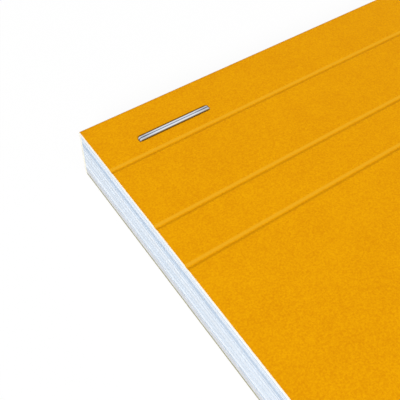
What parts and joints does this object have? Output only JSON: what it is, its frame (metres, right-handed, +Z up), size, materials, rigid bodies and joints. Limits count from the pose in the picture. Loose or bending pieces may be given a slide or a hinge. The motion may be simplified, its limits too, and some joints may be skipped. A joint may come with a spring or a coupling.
{
  "type": "stapled notepad",
  "caption": "Pocket notepad stapled at the head, with an orange wraparound card cover, scored front flap, white leaves and a stiff backing board.",
  "frame": {"origin": "middle of the back, on the surface the pad lies on", "axes": "+Z up through the front cover, +Y towards the stapled head, +X to the right when reading"},
  "size_m": [0.085, 0.12, 0.01],
  "materials": {
    "cover_card": "satin coated card",
    "leaf_paper": "uncoated white paper, guillotine cut",
    "grey_board": "raw grey board",
    "staple_wire": "bright drawn wire"
  },
  "bodies": {
    "pad": {"wraparound_cover": "cover_card", "page_block": "leaf_paper", "backing_board": "grey_board", "staple_left": "staple_wire", "staple_right": "staple_wire"},
    "front_cover": {"front_cover": "cover_card"}
  },
  "joints": [
    {"name": "cover_hinge", "type": "hinge", "parent": "pad", "child": "front_cover", "pos_m": [0, 0.05, 0.0097], "axis": [-1, 0, 0], "range_deg": [0, 170]}
  ]
}
